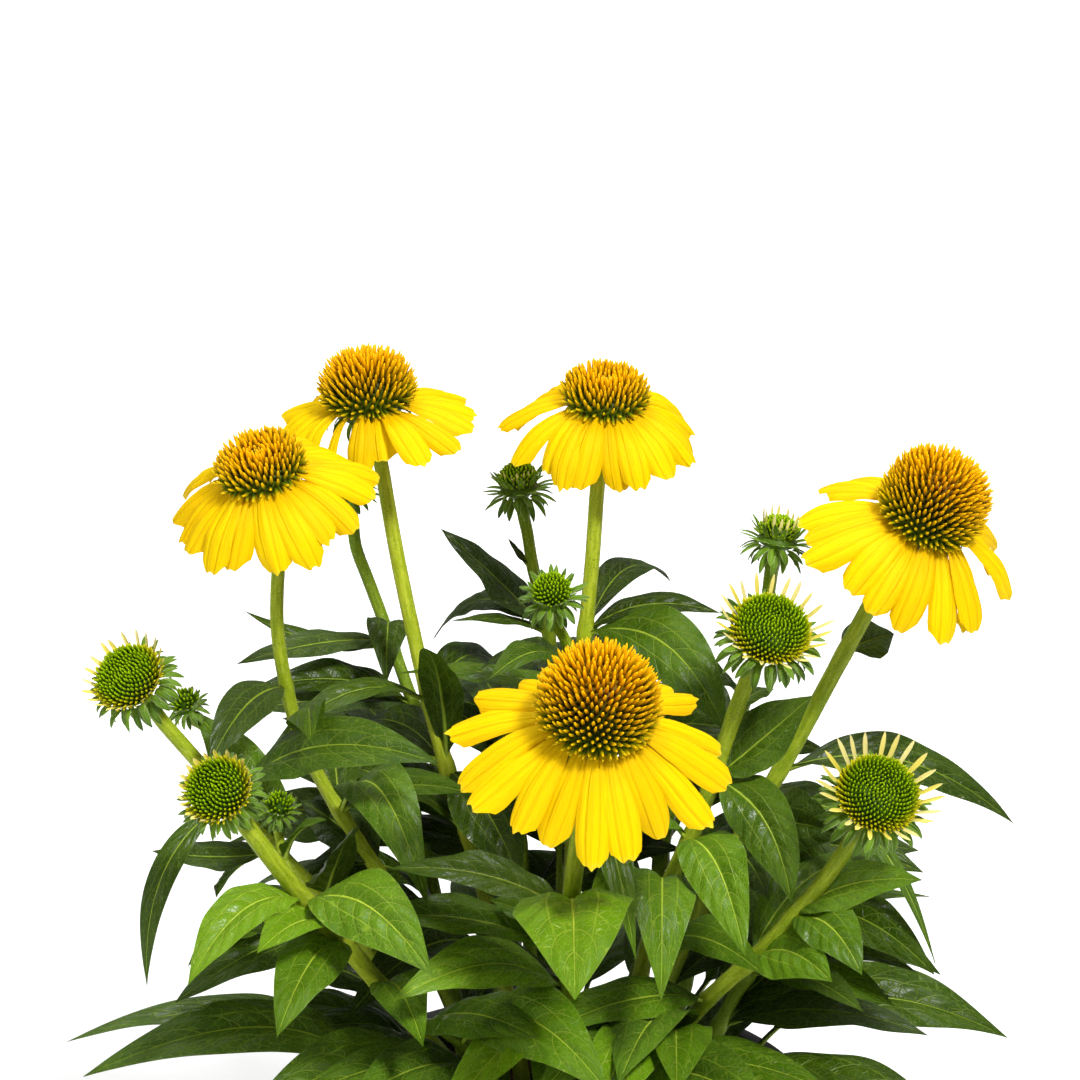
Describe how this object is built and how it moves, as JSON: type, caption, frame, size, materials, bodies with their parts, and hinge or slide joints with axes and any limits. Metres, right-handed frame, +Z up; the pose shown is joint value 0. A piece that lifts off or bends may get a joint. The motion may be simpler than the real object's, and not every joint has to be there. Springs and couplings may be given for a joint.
{
  "type": "potted coneflower plant",
  "caption": "Yellow-flowered coneflower perennial with open flowers, opening heads, buds and dense lance-shaped leaves, standing in a plain round nursery pot",
  "frame": {"origin": "middle of the flat underside of the pot", "axes": "+Z up along the plant, -Y towards the viewer of the picture, +X to the viewer's right"},
  "size_m": [0.3535, 0.3153, 0.4258],
  "materials": {
    "leaf": "matt green leaf with paler veins",
    "stem": "hairy yellow-green stem with its green leaves",
    "ray": "satin yellow ray florets",
    "disc": "orange-tipped bristly disc florets",
    "bud": "green bracts and young florets",
    "pot": "matt black moulded plastic",
    "soil": "dark damp peat compost"
  },
  "bodies": {
    "root": {"bud_h": "bud", "bud_i": "bud", "bud_j": "bud", "bud_m": "bud", "bud_n": "bud", "bud_o": "bud", "bud_p": "bud", "cone_a": "disc", "cone_b": "disc", "cone_c": "disc", "cone_d": "disc", "cone_e": "disc", "head_f": "bud", "head_g": "bud", "head_k": "bud", "head_l": "bud", "leaf_01": "leaf", "leaf_02": "leaf", "leaf_03": "leaf", "leaf_04": "leaf", "leaf_05": "leaf", "leaf_06": "leaf", "leaf_07": "leaf", "leaf_08": "leaf", "leaf_09": "leaf", "leaf_10": "leaf", "leaf_11": "leaf", "leaf_12": "leaf", "leaf_13": "leaf", "leaf_14": "leaf", "leaf_15": "leaf", "pot": "pot", "rays_a": "ray", "rays_b": "ray", "rays_c": "ray", "rays_d": "ray", "rays_e": "ray", "shoot_1": "stem", "shoot_2": "stem", "shoot_3": "stem", "shoot_4": "stem", "shoot_5": "stem", "shoot_6": "stem", "shoot_7": "stem", "shoot_8": "stem", "shoot_9": "stem", "soil": "soil", "stem_a": "stem", "stem_b": "stem", "stem_c": "stem", "stem_d": "stem", "stem_e": "stem", "stem_f": "stem", "stem_g": "stem", "stem_h": "stem", "stem_i": "stem", "stem_j": "stem", "stem_k": "stem", "stem_l": "stem", "stem_m": "stem"}
  },
  "joints": []
}
